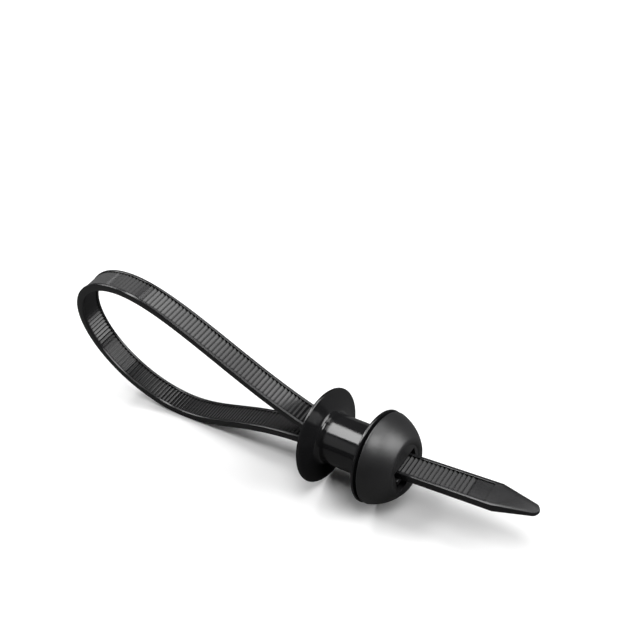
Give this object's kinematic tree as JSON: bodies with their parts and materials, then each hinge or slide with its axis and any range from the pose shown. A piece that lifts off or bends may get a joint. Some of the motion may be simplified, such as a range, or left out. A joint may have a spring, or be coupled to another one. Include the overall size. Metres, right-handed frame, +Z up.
{
  "type": "cable tie",
  "caption": "Double locking cable tie closed in a loop: a strap toothed on both faces, a spool shaped head with a domed end, and a tapered tail.",
  "frame": {"origin": "middle of the footprint box, on the surface that the tie stands on", "axes": "+X along the head, from the loop to the dome and the tail, +Y across the strap, +Z up"},
  "size_m": [0.1874, 0.0334, 0.0633],
  "materials": {
    "nylon": "black moulded nylon: satin strap, glossy spool, matt dome"
  },
  "bodies": {
    "root": {"cable_tie": "nylon"}
  },
  "joints": []
}
